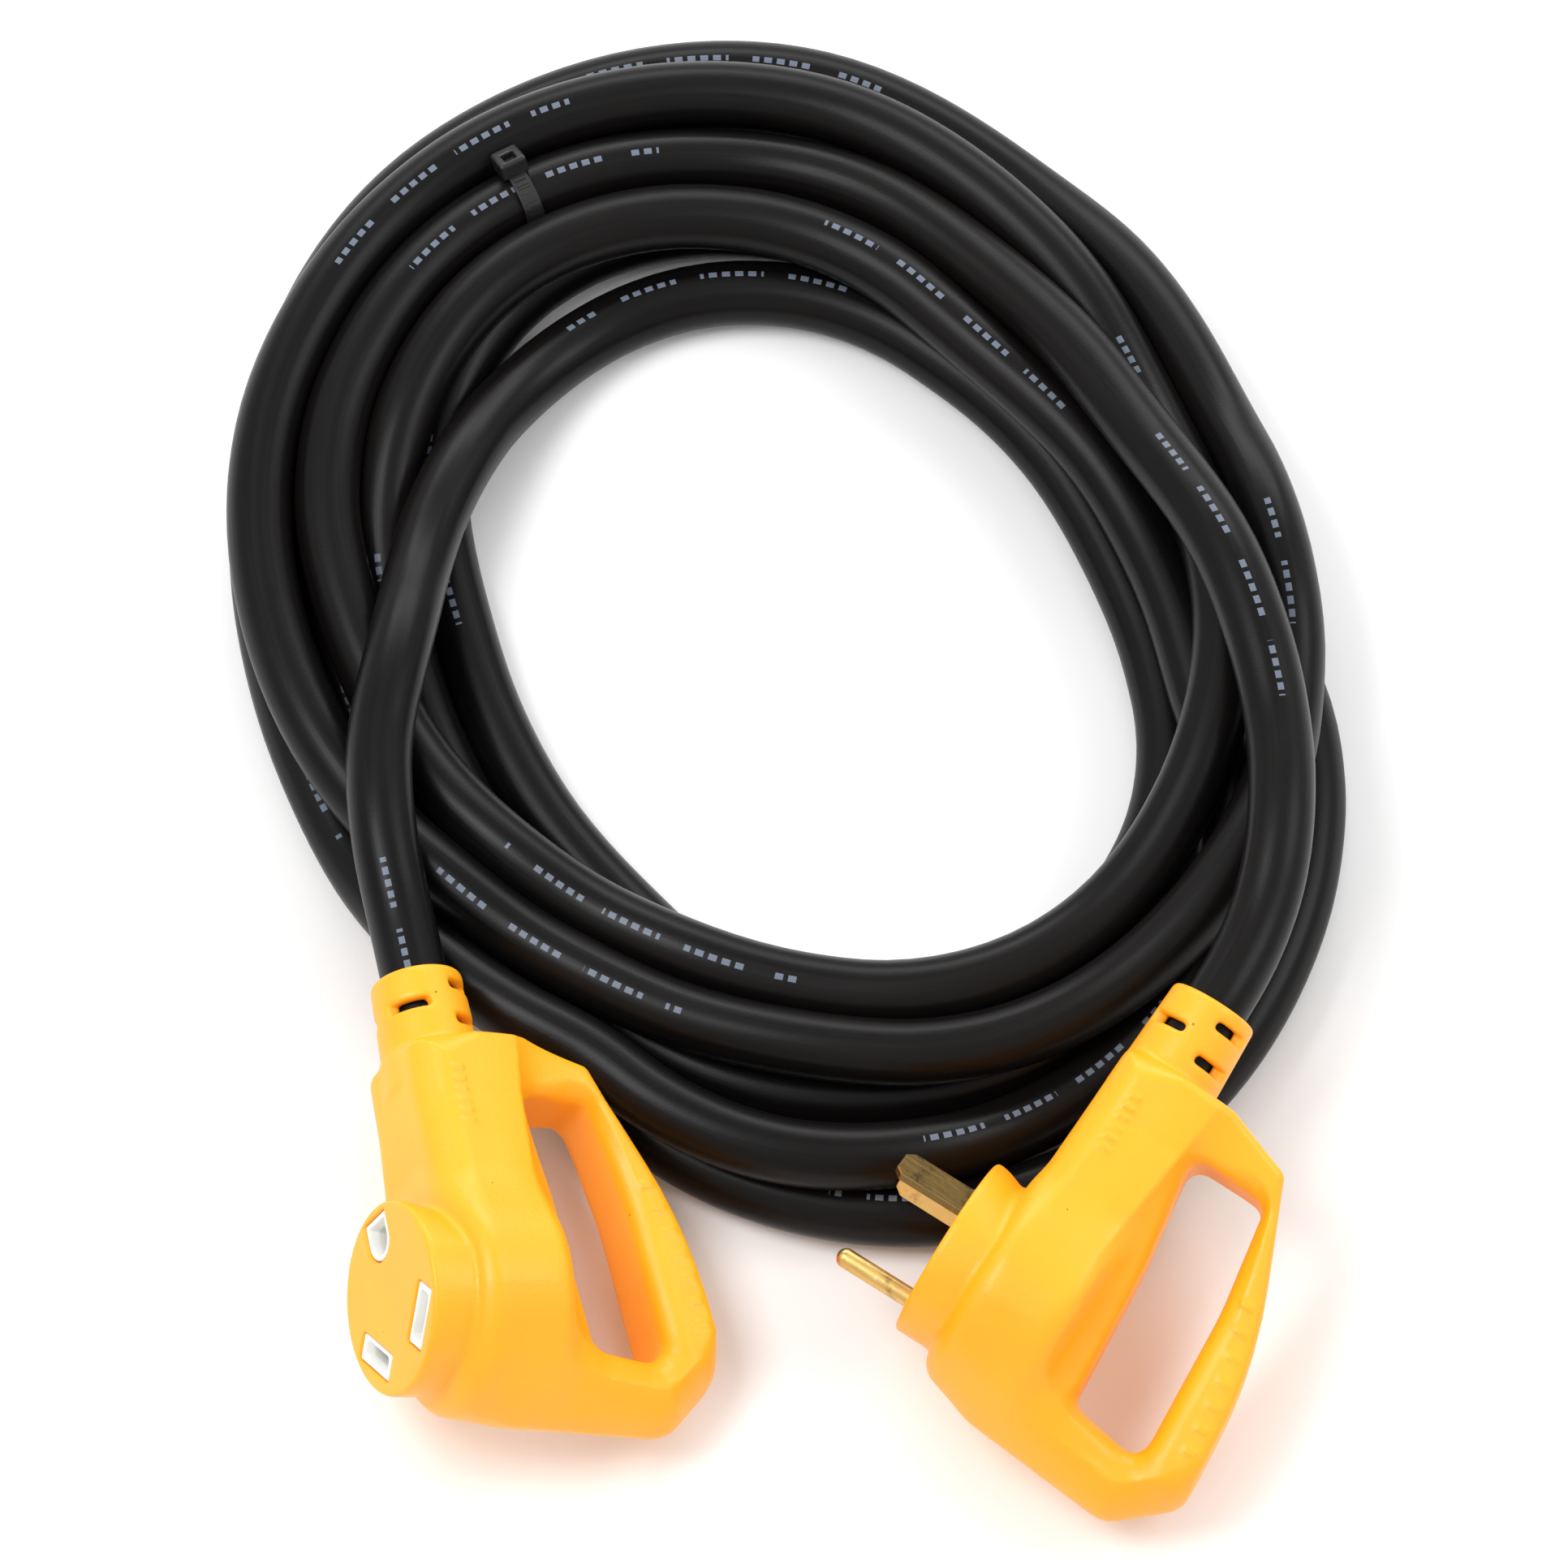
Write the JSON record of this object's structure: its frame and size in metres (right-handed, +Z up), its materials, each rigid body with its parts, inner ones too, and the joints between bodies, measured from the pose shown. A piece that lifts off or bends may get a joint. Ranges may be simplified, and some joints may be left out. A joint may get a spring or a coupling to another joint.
{
  "type": "shore power cord",
  "caption": "Coiled heavy-duty power cord with a right-angle three-pin plug and a matching connector, both with a D-shaped pull handle.",
  "frame": {"origin": "middle of the base, on the surface that the coiled cord lies on", "axes": "+Z up from the surface; +Y along the longest extent, from the plug and connector towards the far side of the coil"},
  "size_m": [0.2608, 0.3922, 0.0663],
  "materials": {
    "cord_jacket": "satin black thermoplastic rubber",
    "tie_nylon": "satin nylon",
    "yellow_pvc": "satin soft moulded PVC",
    "white_insulator": "satin moulded",
    "contact_brass": "slightly tarnished",
    "copper": "bare copper strands",
    "line_insulation": "smooth",
    "neutral_insulation": "smooth",
    "ground_insulation": "smooth"
  },
  "bodies": {
    "root": {"cord_coil": "cord_jacket", "cord_plug_end": "cord_jacket", "cord_connector_end": "cord_jacket", "cable_tie": "tie_nylon", "plug_housing": "yellow_pvc", "plug_line_wire": "line_insulation", "plug_line_strands": "copper", "plug_neutral_wire": "neutral_insulation", "plug_neutral_strands": "copper", "plug_ground_wire": "ground_insulation", "plug_ground_strands": "copper", "connector_housing": "yellow_pvc", "connector_line_wire": "line_insulation", "connector_line_strands": "copper", "connector_neutral_wire": "neutral_insulation", "connector_neutral_strands": "copper", "connector_ground_wire": "ground_insulation", "connector_ground_strands": "copper", "plug_contact_carrier": "white_insulator", "connector_core": "white_insulator", "plug_line_blade": "contact_brass", "plug_neutral_blade": "contact_brass", "plug_ground_pin": "contact_brass", "connector_line_contact": "contact_brass", "connector_neutral_contact": "contact_brass", "connector_ground_contact": "contact_brass"}
  },
  "joints": []
}
